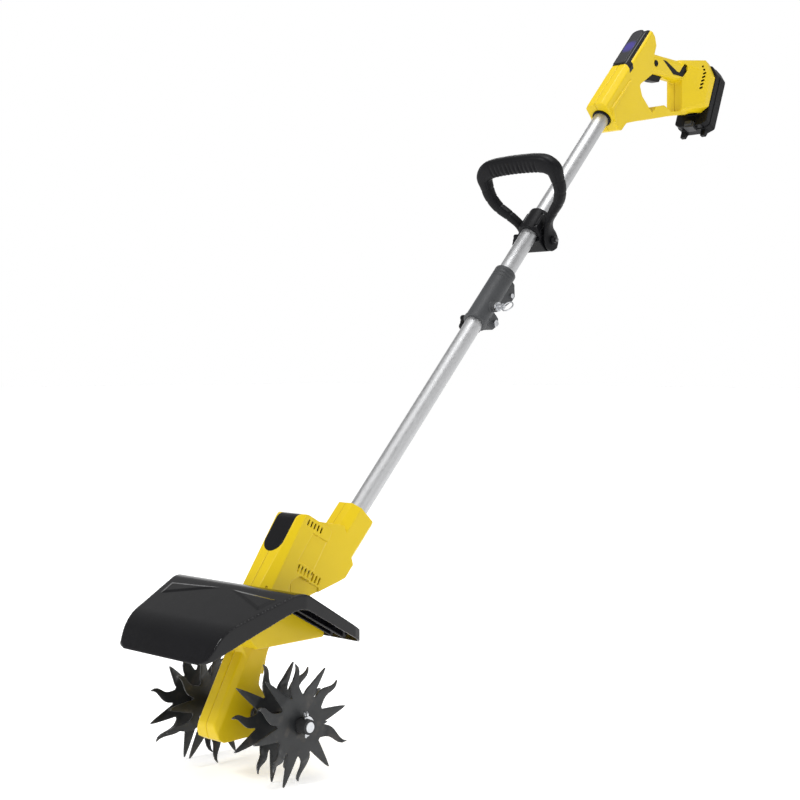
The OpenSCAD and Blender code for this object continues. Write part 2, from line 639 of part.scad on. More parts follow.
module loop_handle() color(black) loop_frame() difference() {
    union() {
        rotate([90, 0, 0]) linear_extrude(24, center = true) difference() {
            polygon(loop_out);
            polygon(loop_in);
        }
        for (m = [-1, 1]) translate([m > 0 ? 20.3 : -28.3, 0, 0]) rotate([0, 90, 0]) cylinder(d = 38, h = 8);
    }
    rod_x(0, 0, 8.2, -40, 40);
    // The arms thin towards the pivot
    for (m = [-1, 1]) translate([m > 0 ? 28.3 : -88.3, -40, -60]) cube([60, 80, 79]);
}
module loop_bolt() color(metal) on_tube(loop_s) {
    rod_x(loop_y, 0, 8, -32, 37);
    translate([28.5, loop_y, 0]) rotate([0, 90, 0]) cylinder(d = 14.5, h = 5.5, $fn = 6);
}
module loop_knob() color(black) on_tube(loop_s) difference() {
    union() {
        rod_x(loop_y, 0, 26, -48, -28.6);
        for (a = [0:60:300]) translate([0, loop_y, 0]) rotate([a, 0, 0]) rod_x(13, 0, 9, -46, -33);
    }
    rod_x(loop_y, 0, 8.04, -33, -28);
}

// ---------- rear handle ----------
front_side = [[-58, -14], [-13, -57], [-4, -57], [12, -42], [92, -23], [97, -14], [62, 14], [54, 33], [73, 44],
    [100, 61], [102, 94], [109, 113], [104, 128], [89.5, 141.6]];
front_round = [2, 4, 3, 12, 0, 2, 8, 6, 4, 4, 16, 5, 5, 7];
grip_top = 102;
grip_low = 61;
strut_side = [[86, -26], [177, -6], [232, 4], [232, 12], [175, 1], [168, 3], [150, 10], [122, 4], [106, -12], [92, -12]];
front_plan_y0 = -32.3;
function rounded_box(w, y0, y1, r) = fillet([[-w, y0], [w, y0], [w, y1], [-w, y1]], [r, r, r, r], 5);
function rim_outline() = [[-20, 0], [20, 0], [34, 12], [34, 74], [14, rim_len], [-14, rim_len], [-34, 74], [-34, 12]];
module front_body(d) {
    intersection() {
        slab(rounded(front_side, front_round, d), body_w - d);
        // Edges along the tube are chamfered
        rotate([tube_angle - 90, 0, 0]) translate([0, 0, -200]) linear_extrude(big)
            polygon(inset(octagon(body_w, front_plan_y0, 170, 8), d));
    }
}
module grip(d) {
    translate([0, 234, 0]) rotate([90, 0, 0]) linear_extrude(150)
        polygon(inset(rounded_box(grip_w, grip_low, grip_top, 14), d));
}
module base(d) {
    hull() {
        translate([0, 205, 0]) rotate([90, 0, 0]) translate([0, 0, -1]) linear_extrude(1)
            polygon(inset(fillet([[-17, 6], [17, 6], [17, 103], [-17, 103]], [5, 5, 8, 8], 3), d));
        translate([0, rim_low.x, rim_low.y]) rotate([dock_angle - 90, 0, 0]) rotate([90, 0, 0])
            translate([0, 0, 0.1]) linear_extrude(16) polygon(inset(rim_outline(), d));
    }
}
module base_cavity() {
    hull() {
        translate([0, 208, 0]) rotate([90, 0, 0]) translate([0, 0, -1]) linear_extrude(1)
            polygon(inset([[-17, 6], [17, 6], [17, 103], [-17, 103]], 2.5));
        translate([0, rim_low.x, rim_low.y]) rotate([dock_angle - 90, 0, 0]) rotate([90, 0, 0])
            translate([0, 0, 2.5]) linear_extrude(14) polygon(inset(rim_outline(), 2.5));
    }
}
handle_screw_points = [[-44, -8], [46, 58], [30, -26], [98, 92], [160, 94], [222, 88], [218, 22]];
module handle_outer() {
    front_body(0);
    grip(0);
    base(0);
    slab(strut_side, 13);
}
module handle_cavity() {
    intersection() {
        front_body(wall);
        translate([-big, 6, -big]) cube(2 * big);
    }
    translate([0, -6, 0]) grip(wall);
    base_cavity();
}
// Raised rib along the side of the front body, where the panel behind it steps in
module side_rib() {
    translate([body_w - 1, 0, 0]) rotate([90, 0, 90]) linear_extrude(4.2)
        polygon([[21, 35], [26, 37.5], [-30, -22.5], [-23.5, -45], [-28.5, -46], [-36.5, -21.5]]);
}
module handle_shell() handle_frame() difference() {
    union() {
        difference() {
            handle_outer();
            handle_cavity();
        }
        for (m = [0, 1]) mirror([m, 0, 0]) side_rib();
        // Collar that holds the tube
        intersection() {
            front_body(1);
            rotate([tube_angle - 90, 0, 0]) translate([0, 0, -60]) cylinder(r = 19, h = 72);
        }
        intersection() {
            handle_outer();
            for (p = handle_screw_points) rod_x(p.x, p.y, 8, -20, 20);
        }
    }
    rotate([tube_angle - 90, 0, 0]) translate([0, 0, -80]) cylinder(d = tube_d + 0.1, h = 90.5);
    rotate([tube_angle - 90, 0, 0]) translate([0, 0, mouth_s - handle_s - 4]) cylinder(d = 34.2, h = 10.2);
    rotate([tube_angle - 90, 0, 0]) cylinder(d = 24, h = 30);
    for (p = handle_screw_points) side_screw_hole(p.x, p.y, -9, 10);
    display_room();
    intersection() {
        bezel_band(0);
        front_skin(1.2);
    }
    trigger_room();
    rod_x(trigger_pivot.x, trigger_pivot.y, 3.04, -14.4, 14.4);
    rod_x(115, 82, 11.6, -big, big);
    for (m = [0, 1]) mirror([m, 0, 0]) inlay_shape(0.15, 1.4);
    dock_room();
    // Vent slots of the battery base
    for (i = [0:6]) translate([-big, 248 + 3.2 * i, 51 + 7.4 * i]) rotate([24, 0, 0]) cube([2 * big, 11, 3.2]);
}
dock_w = 18.6;
module dock_room() {
    translate([0, rim_low.x, rim_low.y]) rotate([dock_angle - 90, 0, 0]) {
        translate([-dock_w - 0.2, -15, 4]) cube([2 * dock_w + 0.4, 30, 90.2]);
        translate([-12.6, -13.6, -20]) cube([25.2, 30, 60]);
        translate([-15.8, -9.8, -20]) cube([31.6, 5.6, 60]);
    }
}
module handle_left_shell() color(yellow) left_half() handle_shell();
module handle_right_shell() color(yellow) right_half() handle_shell();
module handle_screws() color(metal) handle_frame() for (p = handle_screw_points) side_screw(p.x, p.y, -9, 10);

// Display: a black bezel on the sloping top with a dark window let into it
display_s0 = 62;
display_len = 99;
module display_frame() { rotate([tube_angle - 90, 0, 0]) translate([0, front_plan_y0, display_s0]) children(); }
function display_outline(d) = fillet([[-13 + d, d], [13 - d, d], [13 - d, display_len - d], [-13 + d, display_len - d]],
    [2, 2, 11 - d, 11 - d], 6);
module display_room() { display_frame() rotate([90, 0, 0]) translate([0, 0, -4]) linear_extrude(20)
    polygon(inset(display_outline(0), -0.15)); }
// Band of the front body's skin beside the display, with a pointed tab at its lower end
module bezel_band(d) {
    lean() translate([0, 0, display_s0]) rotate([90, 0, 90]) linear_extrude(big, center = true)
        polygon(inset([[front_plan_y0 - 9, -1], [-30, -1], [-18, -12], [-16.5, 4], [-27.5, 11], [-27.5, display_len + 6],
            [front_plan_y0 - 9, display_len + 6]], d));
}
module front_skin(t) {
    difference() {
        front_body(-0.05);
        front_body(t);
    }
}
module display_bezel() color(black) handle_frame() {
    difference() {
        union() {
            display_frame() rotate([90, 0, 0]) translate([0, 0, -3.8]) linear_extrude(6.3)
                polygon(display_outline(0));
            intersection() {
                bezel_band(0.1);
                difference() {
                    front_body(0);
                    front_body(1.1);
                }
            }
        }
        display_frame() rotate([90, 0, 0]) {
            translate([0, 0, 0.6]) linear_extrude(10) polygon(display_outline(2.2));
            translate([0, 0, -5]) linear_extrude(4.2) polygon(display_outline(3));
        }
    }
}
module display_window() color([0.15, 0.12, 0.3]) handle_frame() display_frame() rotate([90, 0, 0])
    translate([0, 0, 0.65]) linear_extrude(1.8) polygon(display_outline(2.4));
module inlay_shape(d, t) {
    // Tick-shaped insert let into the side of the grip
    translate([grip_w - t, 0, 0]) rotate([90, 0, 90]) linear_extrude(6)
        polygon(inset(fillet([[172, 72], [192, 64], [204, 65], [219, 84], [221, 93], [213, 96], [196, 77], [188, 78],
            [131, 99.5], [127, 99.5]], [20, 3, 3, 8, 4, 2, 4, 4, 0, 0], 4), -d));
}
module grip_inlays() color(black) handle_frame() for (m = [0, 1]) mirror([m, 0, 0]) intersection() {
    inlay_shape(0, 1.2);
    grip(0);
}

// Trigger: hinged at its front end and pulled up into the grip
trigger_pivot = [103, 68];
trigger_side = [[99, 64], [107, 52], [118, 50.5], [140, 52], [145, 60], [145, 70], [110, 72], [99, 72]];
module trigger() color(black) handle_frame() difference() {
    slab(fillet(trigger_side, [3, 3, 10, 4, 3, 2, 2, 2]), 7.5);
    rod_x(trigger_pivot.x, trigger_pivot.y, 3.2, -20, 20);
}
module trigger_room() {
    slab([[95, 40], [150, 40], [150, 80], [95, 80]], 8.2);
}
module lock_button() color(black) handle_frame() difference() {
    rod_x(115, 82, 11, -18.5, 18.5);
    rod_x(115, 82, 5, -20, -17.5);
    rod_x(115, 82, 5, 17.5, 20);
}
module trigger_switch() color([0.2, 0.2, 0.22]) handle_frame() {
    slab([[124, 81], [152, 81], [152, 96], [124, 96]], 8);
    rod_x(trigger_pivot.x, trigger_pivot.y, 3, -14.3, 14.3);
}
module control_board() color([0.05, 0.3, 0.15]) handle_frame() {
    display_frame() translate([-11, 9, 8]) cube([22, 1.6, 84]);
    display_frame() translate([-7, 10.5, 20]) cube([14, 5, 30]);
}
module battery_dock() color(black) dock_frame() difference() {
    translate([-dock_w, -14.8, 4.2]) cube([2 * dock_w, 14.4, 89.8]);
    // Channel for the battery's rail, open at its lower end
    translate([-12.4, -13, -5]) cube([24.8, 20, 96]);
    translate([-15.4, -9.4, -5]) cube([30.8, 4.8, 96]);
}
module dock_contacts() color([0.85, 0.65, 0.3]) dock_frame() for (x = [-9, -3, 3, 9])
    translate([x - 0.4, -13, 58]) cube([0.8, 7.2, 33]);

// ---------- battery ----------
pack_w = 36;
latch_top = -15.6;
function pack_outline(d) = fillet([[-pack_w + d, -20 + d], [-24, -26 + d], [24, -26 + d], [pack_w - d, -20 + d],
    [pack_w - d, 84], [20, 106 - d], [-20, 106 - d], [-pack_w + d, 84]], [4, 4, 4, 4, 8, 8, 8, 8], 4);
module battery_top_case() color(black) dock_frame() difference() {
    union() {
        rotate([90, 0, 0]) translate([0, 0, -14]) linear_extrude(13.4) polygon(pack_outline(1));
        translate([-12, -12.6, -2]) cube([24, 14, 92]);
        translate([-15, -9, -2]) cube([30, 4, 90]);
    }
    // Room inside, less a closed box round the latch
    difference() {
        rotate([90, 0, 0]) translate([0, 0, -14.5]) linear_extrude(11) polygon(pack_outline(4));
        translate([-12.4, -10, -40]) cube([24.8, 30, latch_top + 42.2]);
    }
    // Contact slots and the latch's pocket
    for (x = [-9, -3, 3, 9]) translate([x - 0.9, -14, 54]) cube([1.8, 9.5, 40]);
    translate([-10.2, -10, -40]) cube([20.4, 25, latch_top + 40]);
}
module battery_base_case() color(black) dock_frame() difference() {
    union() {
        rotate([90, 0, 0]) translate([0, 0, -34]) linear_extrude(19.8) polygon(pack_outline(0));
        // Two feet at the lower end
        for (x = [-27, 17]) side([[16, -40], [24, -40], [32, -20], [32, -12], [16, -12]], x, x + 10);
    }
    rotate([90, 0, 0]) translate([0, 0, -31.5]) linear_extrude(20) polygon(pack_outline(3));
}
module battery_cells() color([0.1, 0.35, 0.6]) dock_frame() for (i = [0:4]) rod_x(17, -3 + 19.6 * i, 18.4, -30, 30);
module battery_contacts() color([0.85, 0.65, 0.3]) dock_frame() for (x = [-31.8, 31.1])
    translate([x, 12, -12]) cube([0.7, 10, 92]);
module battery_latch() color([0.25, 0.25, 0.26]) dock_frame() {
    translate([-10, -4, -31]) cube([20, 17.6, 12]);
    translate([-7, -8, -27]) cube([14, 5, 8]);
}

handle_left_shell();
handle_right_shell();
handle_screws();
display_bezel();
display_window();
grip_inlays();
trigger();
lock_button();
trigger_switch();
control_board();
battery_dock();
dock_contacts();
tube_ring();
upper_tube();
upper_cable();
upper_connector();
battery_top_case();
battery_base_case();
battery_cells();
battery_contacts();
battery_latch();
coupling_sleeve();
coupling_screw();
lock_pin();
clamp_bolt();
clamp_knob();
loop_clamp();
loop_clamp_cap();
loop_clamp_screws();
loop_handle();
loop_bolt();
loop_knob();
lower_tube();
tube_end_front();
tube_end_back();
lower_cable();
lower_connector();
housing_left();
housing_right();
housing_screws();
housing_inlay();
motor_can();
motor_rotor();
drive_shaft();
shaft_bearings();
leg_left();
leg_right();
leg_screws();
guard();
guard_bolts();
tine_axle();
worm_wheel();
axle_bearings();
axle_seals();
tine_disc_left_outer();
tine_disc_left_inner();
tine_disc_right_inner();
tine_disc_right_outer();
tine_hubs();
retaining_clips();
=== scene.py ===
"""Looks of a battery hand cultivator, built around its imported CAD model. Metres, in the row frame."""
import json
import math

import bmesh
import bpy
import numpy as np
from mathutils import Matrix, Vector


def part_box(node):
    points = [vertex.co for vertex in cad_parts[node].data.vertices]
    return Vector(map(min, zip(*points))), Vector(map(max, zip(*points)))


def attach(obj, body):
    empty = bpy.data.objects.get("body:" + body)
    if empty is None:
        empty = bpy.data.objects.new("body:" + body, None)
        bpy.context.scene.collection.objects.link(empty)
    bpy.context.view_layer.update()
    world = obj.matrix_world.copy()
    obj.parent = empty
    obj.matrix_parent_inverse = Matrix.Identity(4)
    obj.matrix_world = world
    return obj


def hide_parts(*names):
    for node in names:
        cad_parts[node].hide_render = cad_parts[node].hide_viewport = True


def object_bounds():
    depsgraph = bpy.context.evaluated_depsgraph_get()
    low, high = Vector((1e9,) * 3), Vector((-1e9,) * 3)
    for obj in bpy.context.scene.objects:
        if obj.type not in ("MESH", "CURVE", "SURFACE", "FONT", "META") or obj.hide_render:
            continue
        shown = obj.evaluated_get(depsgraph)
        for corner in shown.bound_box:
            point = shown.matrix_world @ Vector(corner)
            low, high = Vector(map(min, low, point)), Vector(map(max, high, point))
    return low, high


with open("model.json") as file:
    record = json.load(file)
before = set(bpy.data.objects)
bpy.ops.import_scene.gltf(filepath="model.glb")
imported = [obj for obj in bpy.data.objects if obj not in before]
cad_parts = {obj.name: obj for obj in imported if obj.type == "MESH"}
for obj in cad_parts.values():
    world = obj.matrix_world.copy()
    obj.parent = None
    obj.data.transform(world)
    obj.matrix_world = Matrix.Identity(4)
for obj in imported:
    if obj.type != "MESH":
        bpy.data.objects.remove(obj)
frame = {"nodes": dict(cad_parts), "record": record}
NODES = frame["nodes"]
RECORD = frame["record"]
BODY_OF = {n: b for b, members in RECORD["behaviour"]["bodies"].items() for n in members}
SLOT_OF = {s["node"]: s["material_slot"] for s in RECORD["subparts"]}
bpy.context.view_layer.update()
MM = 0.001

# ---------- places worked out from the frame ----------
TUBE_ANGLE = math.radians(46.6)
HEAD_LEAN = math.radians(29)
DISPLAY_MIDDLE = sum(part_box("display_window"), Vector()) / 2


# ---------- materials ----------
class Nodes:
    """Short calls for building a material's node tree."""

    def __init__(self, name):
        self.material = bpy.data.materials.new(name)
        self.material.use_nodes = True
        self.tree = self.material.node_tree
        self.shader = self.tree.nodes["Principled BSDF"]
        self.coordinates = self.add("ShaderNodeTexCoord").outputs["Object"]

    def add(self, kind, **settings):
        node = self.tree.nodes.new(kind)
        for key, value in settings.items():
            setattr(node, key, value)
        return node

    def link(self, source, target):
        self.tree.links.new(source, target)

    def stretched(self, scale, tilt=0.0):
        mapping = self.add("ShaderNodeMapping")
        mapping.inputs["Rotation"].default_value = (tilt, 0, 0)
        mapping.inputs["Scale"].default_value = scale
        self.link(self.coordinates, mapping.inputs["Vector"])
        return mapping.outputs["Vector"]

    def noise(self, scale, detail=4.0, vector=None):
        texture = self.add("ShaderNodeTexNoise")
        texture.inputs["Scale"].default_value = scale
        texture.inputs["Detail"].default_value = detail
        self.link(vector or self.coordinates, texture.inputs["Vector"])
        return texture.outputs["Fac"]

    def ranged(self, value, low, high, from_low=0.3, from_high=0.7):
        node = self.add("ShaderNodeMapRange")
        node.inputs["From Min"].default_value = from_low
        node.inputs["From Max"].default_value = from_high
        node.inputs["To Min"].default_value = low
        node.inputs["To Max"].default_value = high
        self.link(value, node.inputs["Value"])
        return node.outputs["Result"]

    def mixed(self, factor, first, second):
        node = self.add("ShaderNodeMix", data_type="RGBA")
        self.link(factor, node.inputs["Factor"])
        for socket, colour in ((node.inputs[6], first), (node.inputs[7], second)):
            if isinstance(colour, tuple):
                socket.default_value = (*colour, 1)
            else:
                self.link(colour, socket)
        return node.outputs[2]

    def bump(self, heights):
        """heights is a list of (value, distance in metres), fine over coarse."""
        normal = None
        for value, distance in heights:
            node = self.add("ShaderNodeBump")
            node.inputs["Distance"].default_value = distance
            node.inputs["Strength"].default_value = 1.0
            self.link(value, node.inputs["Height"])
            if normal is not None:
                self.link(normal, node.inputs["Normal"])
            normal = node.outputs["Normal"]
        self.link(normal, self.shader.inputs["Normal"])

    def edges(self, low, high):
        """0 on flats, 1 on sharp outer edges."""
        pointy = self.add("ShaderNodeNewGeometry").outputs["Pointiness"]
        return self.ranged(pointy, 0.0, 1.0, low, high)

    def product(self, first, second):
        node = self.add("ShaderNodeMath", operation="MULTIPLY")
        self.link(first, node.inputs[0])
        self.link(second, node.inputs[1])
        return node.outputs[0]


def shade(colour, factor):
    return tuple(min(1.0, c * factor) for c in colour)


def plastic(name, colour, rough, grain=0.04, pitch=1100.0, spread=0.06, wear=0.25, coat=0.0, gloss=0.5):
    """Moulded plastic: fine spark grain, slow colour drift, rubbed edges and faint scuffs."""
    n = Nodes(name)
    drift = n.ranged(n.noise(9.0), 0.0, 1.0)
    base = n.mixed(drift, shade(colour, 1 - spread), shade(colour, 1 + spread))
    rubbed = n.product(n.edges(0.52, 0.62), n.ranged(n.noise(140.0), 0.1, wear))
    lighter = tuple(c + (1 - c) * 0.35 for c in colour)
    base = n.mixed(rubbed, base, lighter)
    n.link(base, n.shader.inputs["Base Color"])
    scuffs = n.noise(220.0, 3.0, n.stretched((1, 0.12, 1), 0.6))
    n.link(n.ranged(scuffs, rough - 0.05, rough + 0.08), n.shader.inputs["Roughness"])
    n.bump([(n.noise(26.0, 2.0), 0.00035), (n.noise(pitch, 2.0), grain * MM)])
    n.shader.inputs["Specular IOR Level"].default_value = gloss
    n.shader.inputs["Coat Weight"].default_value = coat
    n.shader.inputs["Coat Roughness"].default_value = 0.08
    return n.material


def metal(name, colour, rough, stretch=(1, 1, 1), tilt=0.0, spread=0.08, pitch=500.0, stain=0.0, relief=0.2):
    """Bare metal: drawn or turned marks along one direction, slight tarnish."""
    n = Nodes(name)
    n.shader.inputs["Metallic"].default_value = 1.0
    marks = n.noise(pitch, 3.0, n.stretched(stretch, tilt))
    base = n.mixed(n.ranged(marks, 0.0, 1.0), shade(colour, 1 - spread), shade(colour, 1 + spread))
    if stain:
        spots = n.ranged(n.noise(45.0, 6.0), 0.0, stain, 0.55, 0.75)
        base = n.mixed(spots, base, shade(colour, 0.45))
    n.link(base, n.shader.inputs["Base Color"])
    n.link(n.ranged(marks, rough - 0.06, rough + 0.1), n.shader.inputs["Roughness"])
    n.bump([(n.noise(30.0, 2.0), 0.5 * relief * MM), (marks, 0.1 * relief * MM)])
    return n.material


def painted_steel(name, colour, rough):
    """Black paint over steel: orange peel, chips to bare metal on edges, dried soil."""
    n = Nodes(name)
    chips = n.product(n.edges(0.53, 0.6), n.ranged(n.noise(260.0, 5.0), 0.0, 1.0, 0.48, 0.6))
    base = n.mixed(n.ranged(n.noise(20.0), 0.0, 1.0), shade(colour, 0.7), shade(colour, 1.5))
    base = n.mixed(n.ranged(n.noise(48.0, 7.0), 0.0, 0.35, 0.55, 0.75), base, (0.11, 0.09, 0.07))
    base = n.mixed(chips, base, (0.42, 0.42, 0.43))
    n.link(base, n.shader.inputs["Base Color"])
    n.link(chips, n.shader.inputs["Metallic"])
    n.link(n.ranged(n.noise(75.0), rough - 0.08, rough + 0.12), n.shader.inputs["Roughness"])
    n.shader.inputs["Specular IOR Level"].default_value = 0.35
    n.bump([(n.noise(60.0, 3.0), 0.0002), (n.noise(700.0, 2.0), 0.00004)])
    return n.material


def display(name):
    """Tinted window: dark grey, with a painted blue-violet sheen in its middle and a clear hard coat."""
    n = Nodes(name)
    distance = n.add("ShaderNodeVectorMath", operation="DISTANCE")
    n.link(n.coordinates, distance.inputs[0])
    distance.inputs[1].default_value = DISPLAY_MIDDLE
    # Painted sheen: blue-violet colour fading out from the window's middle, made patchy with noise
    painted_sheen = n.ranged(distance.outputs["Value"], 1.0, 0.0, 9 * MM, 19 * MM)
    patchy_painted_sheen = n.product(painted_sheen, n.ranged(n.noise(60.0, 2.0), 0.75, 1.0))
    base = n.mixed(patchy_painted_sheen, (0.022, 0.022, 0.026), (0.04, 0.03, 0.22))
    n.link(base, n.shader.inputs["Base Color"])
    n.link(n.ranged(n.noise(120.0), 0.1, 0.2), n.shader.inputs["Roughness"])
    n.bump([(n.noise(20.0, 1.0), 0.0001)])
    n.shader.inputs["Specular IOR Level"].default_value = 0.2
    n.shader.inputs["Coat Weight"].default_value = 0.25
    n.shader.inputs["Coat Roughness"].default_value = 0.05
    return n.material


def circuit(name):
    """Coated board: green mask with darker tracks."""
    n = Nodes(name)
    tracks = n.ranged(n.noise(500.0, 0.0, n.stretched((1, 0.1, 1))), 0.0, 1.0, 0.48, 0.52)
    n.link(n.mixed(tracks, (0.02, 0.16, 0.07), (0.03, 0.26, 0.12)), n.shader.inputs["Base Color"])
    n.link(n.ranged(tracks, 0.25, 0.4, 0.0, 1.0), n.shader.inputs["Roughness"])
    n.bump([(tracks, 0.00005)])
    return n.material


# Noise scale that draws marks out along the tube
DRAWN = (1.0, 0.03, 1.0)
MATERIALS = {
    "yellow": plastic("Yellow_housing", (0.68, 0.49, 0.006), 0.34, grain=0.01, spread=0.03, coat=0.05, wear=0.1,
                      gloss=0.25),
    "black_plastic": plastic("Black_textured", (0.005, 0.005, 0.006), 0.4, grain=0.05, spread=0.2, wear=0.08,
                             gloss=0.12),
    "gloss_black": plastic("Black_gloss", (0.003, 0.003, 0.004), 0.11, grain=0.003, spread=0.2, wear=0.05,
                           gloss=0.3),
    "dark_grey_plastic": plastic("Dark_grey_plastic", (0.03, 0.03, 0.032), 0.42, grain=0.05, gloss=0.3),
    "display_glass": display("Display_window"),
    "aluminium_tube": metal("Drawn_aluminium", (0.5, 0.503, 0.51), 0.46, DRAWN, math.pi / 2 - TUBE_ANGLE,
                            spread=0.025, pitch=260.0, relief=0.02),
    "coupling_grey": plastic("Grey_cast_look", (0.05, 0.052, 0.055), 0.42, grain=0.09, pitch=700, spread=0.12,
                             gloss=0.25),
    "steel": metal("Zinc_steel", (0.55, 0.56, 0.58), 0.3, stain=0.35),
    "black_steel": painted_steel("Blackened_steel", (0.008, 0.008, 0.009), 0.34),
    "tine_steel": painted_steel("Black_painted_steel", (0.014, 0.015, 0.016), 0.36),
    "bronze": metal("Bronze", (0.6, 0.4, 0.16), 0.35),
    "copper": metal("Contact_copper", (0.75, 0.42, 0.2), 0.3),
    "board": circuit("Coated_board"),
    "cable": plastic("Cable_sleeve", (0.02, 0.02, 0.022), 0.5),
    "white_plastic": plastic("White_connector", (0.7, 0.7, 0.67), 0.4),
    "cell_wrap": plastic("Cell_sleeve", (0.03, 0.12, 0.4), 0.25),
    "seal_rubber": plastic("Seal_rubber", (0.015, 0.015, 0.015), 0.6, gloss=0.3),
    "motor_steel": metal("Motor_steel", (0.42, 0.43, 0.45), 0.35),
}


# ---------- meshes ----------
def smooth_by_angle(mesh, degrees=32.0):
    mesh.polygons.foreach_set("use_smooth", [True] * len(mesh.polygons))
    mesh.set_sharp_from_angle(angle=math.radians(degrees))


def dress(obj, material):
    obj.data.materials.clear()
    obj.data.materials.append(material)


def copy_of(node, name):
    """A free copy of a CAD node's mesh, welded, in its own object."""
    mesh = NODES[node].data.copy()
    obj = bpy.data.objects.new(name, mesh)
    bpy.context.scene.collection.objects.link(obj)
    bm = bmesh.new()
    bm.from_mesh(mesh)
    bmesh.ops.remove_doubles(bm, verts=bm.verts, dist=0.00001)
    bm.to_mesh(mesh)
    bm.free()
    return obj


def settle(obj):
    """Applies the object's modifiers to its mesh."""
    depsgraph = bpy.context.evaluated_depsgraph_get()
    mesh = bpy.data.meshes.new_from_object(obj.evaluated_get(depsgraph))
    obj.modifiers.clear()
    obj.data = mesh


def placed(obj, node):
    """Puts a finished piece on its body in place of its CAD node."""
    dress(obj, MATERIALS[SLOT_OF[node]])
    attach(obj, BODY_OF[node])
    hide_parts(node)


def moulded(node, voxel, rounds, shape=None):
    """A CAD node with moulded edges: remeshed in even faces, relaxed, then shaped by a function."""
    obj = copy_of(node, node + "_moulded")
    remesh = obj.modifiers.new("remesh", "REMESH")
    remesh.mode = "VOXEL"
    remesh.voxel_size = voxel * MM
    relax = obj.modifiers.new("relax", "SMOOTH")
    relax.factor = 0.5
    relax.iterations = rounds
    settle(obj)
    if shape:
        points = np.zeros(len(obj.data.vertices) * 3)
        obj.data.vertices.foreach_get("co", points)
        obj.data.vertices.foreach_set("co", shape(points.reshape(-1, 3)).ravel())
        obj.data.update()
    obj.data.polygons.foreach_set("use_smooth", [True] * len(obj.data.polygons))
    placed(obj, node)


# ---------- plain CAD nodes ----------
for node_name, node_object in NODES.items():
    dress(node_object, MATERIALS[SLOT_OF[node_name]])
    smooth_by_angle(node_object.data)

# ---------- yellow housings ----------
# Bevel along the front of the motor housing, in the head frame: half width, y and z in mm at both ends
BEVEL = ((29, -65.7, 130), (16, -78.7, 130), (29, -52.5, 280))
# Points further out than this belong to other edges
MOST_PROUD = 6 * MM


def level(point):
    """A point of the leaning head frame, in the row frame."""
    x, y, z = point
    return np.array([x, y * math.cos(HEAD_LEAN) + z * math.sin(HEAD_LEAN),
                     z * math.cos(HEAD_LEAN) - y * math.sin(HEAD_LEAN)]) * MM


def trimmed_bevel(points):
    """Brings the ends of the motor's mounting rings flush with the bevelled front edges."""
    low_side, low_front, high_side = (level(p) for p in BEVEL)
    normal = np.cross(low_front - low_side, high_side - low_side)
    normal *= math.copysign(1, normal[0]) / np.linalg.norm(normal)
    side = np.sign(points[:, :1])
    mirror = np.hstack([side, np.ones_like(side), np.ones_like(side)])
    right = points * mirror
    proud = np.clip((right - low_side) @ normal, 0, None)
    proud *= proud < MOST_PROUD
    return (right - np.outer(proud, normal)) * mirror


for shell in ("handle_left_shell", "handle_right_shell"):
    moulded(shell, voxel=0.8, rounds=4)
for shell in ("housing_left", "housing_right"):
    moulded(shell, voxel=0.8, rounds=4, shape=trimmed_bevel)
for shell in ("leg_left", "leg_right"):
    moulded(shell, voxel=1.1, rounds=4)

# ---------- guard ----------
# Raised wedge on each half of the guard's top, seen from above, in mm
WEDGE = ((-101, -68), (-8, -34), (-109, -41))
WEDGE_HEIGHT = 1.8
WEDGE_EDGE = 4
# The guard's top: a point of its upper skin, its slope and its outward direction
TOP_Y, TOP_Z = -122, 138
TOP_SLOPE = 43 / 108
TOP_OUT = (0, -0.37, 0.93)
SKIN = 2.0


def raised_wedges(points):
    """Lifts a wedge out of the guard's upper skin on both sides of the neck."""
    x, y, z = (points / MM).T
    x = -np.abs(x)
    inside = np.full(len(x), np.inf)
    for (x0, y0), (x1, y1) in zip(WEDGE, WEDGE[1:] + WEDGE[:1]):
        length = math.hypot(x1 - x0, y1 - y0)
        inside = np.minimum(inside, ((x1 - x0) * (y - y0) - (y1 - y0) * (x - x0)) / length)
    upper = z > TOP_Z + (y - TOP_Y) * TOP_SLOPE - SKIN
    lift = WEDGE_HEIGHT * np.clip(inside / WEDGE_EDGE, 0, 1) * upper
    return points + np.outer(lift, TOP_OUT) * MM


moulded("guard", voxel=1.3, rounds=5, shape=raised_wedges)

# ---------- tine wheels ----------
SPIKES = 12
BEND_FROM = 44 * MM
BEND_LENGTH = 8 * MM
LONGEST_EDGE = 7 * MM
EDGE_ROUND = 0.35 * MM
# Sideways set of each spike in turn, in degrees: most stay flat, some are bent to one side or the other
SPIKE_SET = (0, 0, 24, 0, -20, 0, 0, 26, 0, -22, 0, 16)


def split_long_edges(bm, longest, passes=5):
    """Halves edges until none is longer than the limit, so the spikes can bend smoothly."""
    for _ in range(passes):
        long_edges = [e for e in bm.edges if e.calc_length() > longest]
        if not long_edges:
            return
        bmesh.ops.subdivide_edges(bm, edges=long_edges, cuts=1)
        bmesh.ops.triangulate(bm, faces=[f for f in bm.faces if len(f.verts) > 3])


def bent_spikes(points, turn, outward):
    """Bends the outer part of some spikes out of the wheel's plane, each about a line across its root."""
    angle = np.degrees(np.arctan2(points[:, 2], points[:, 1])) - turn
    index = np.round(angle / (360 / SPIKES)).astype(int) % SPIKES
    radius = np.hypot(points[:, 1], points[:, 2])
    bend = np.radians(np.array(SPIKE_SET)[index])
    reach = np.clip(radius - BEND_FROM, 0, None)
    ease = np.clip(reach / BEND_LENGTH, 0, 1)
    side = outward * np.sin(bend) * reach * ease
    shorter = 1 - (1 - np.cos(bend)) * reach * ease / np.maximum(radius, 1e-6)
    moved = points.copy()
    moved[:, 0] += side
    moved[:, 1:] *= shorter[:, None]
    return moved


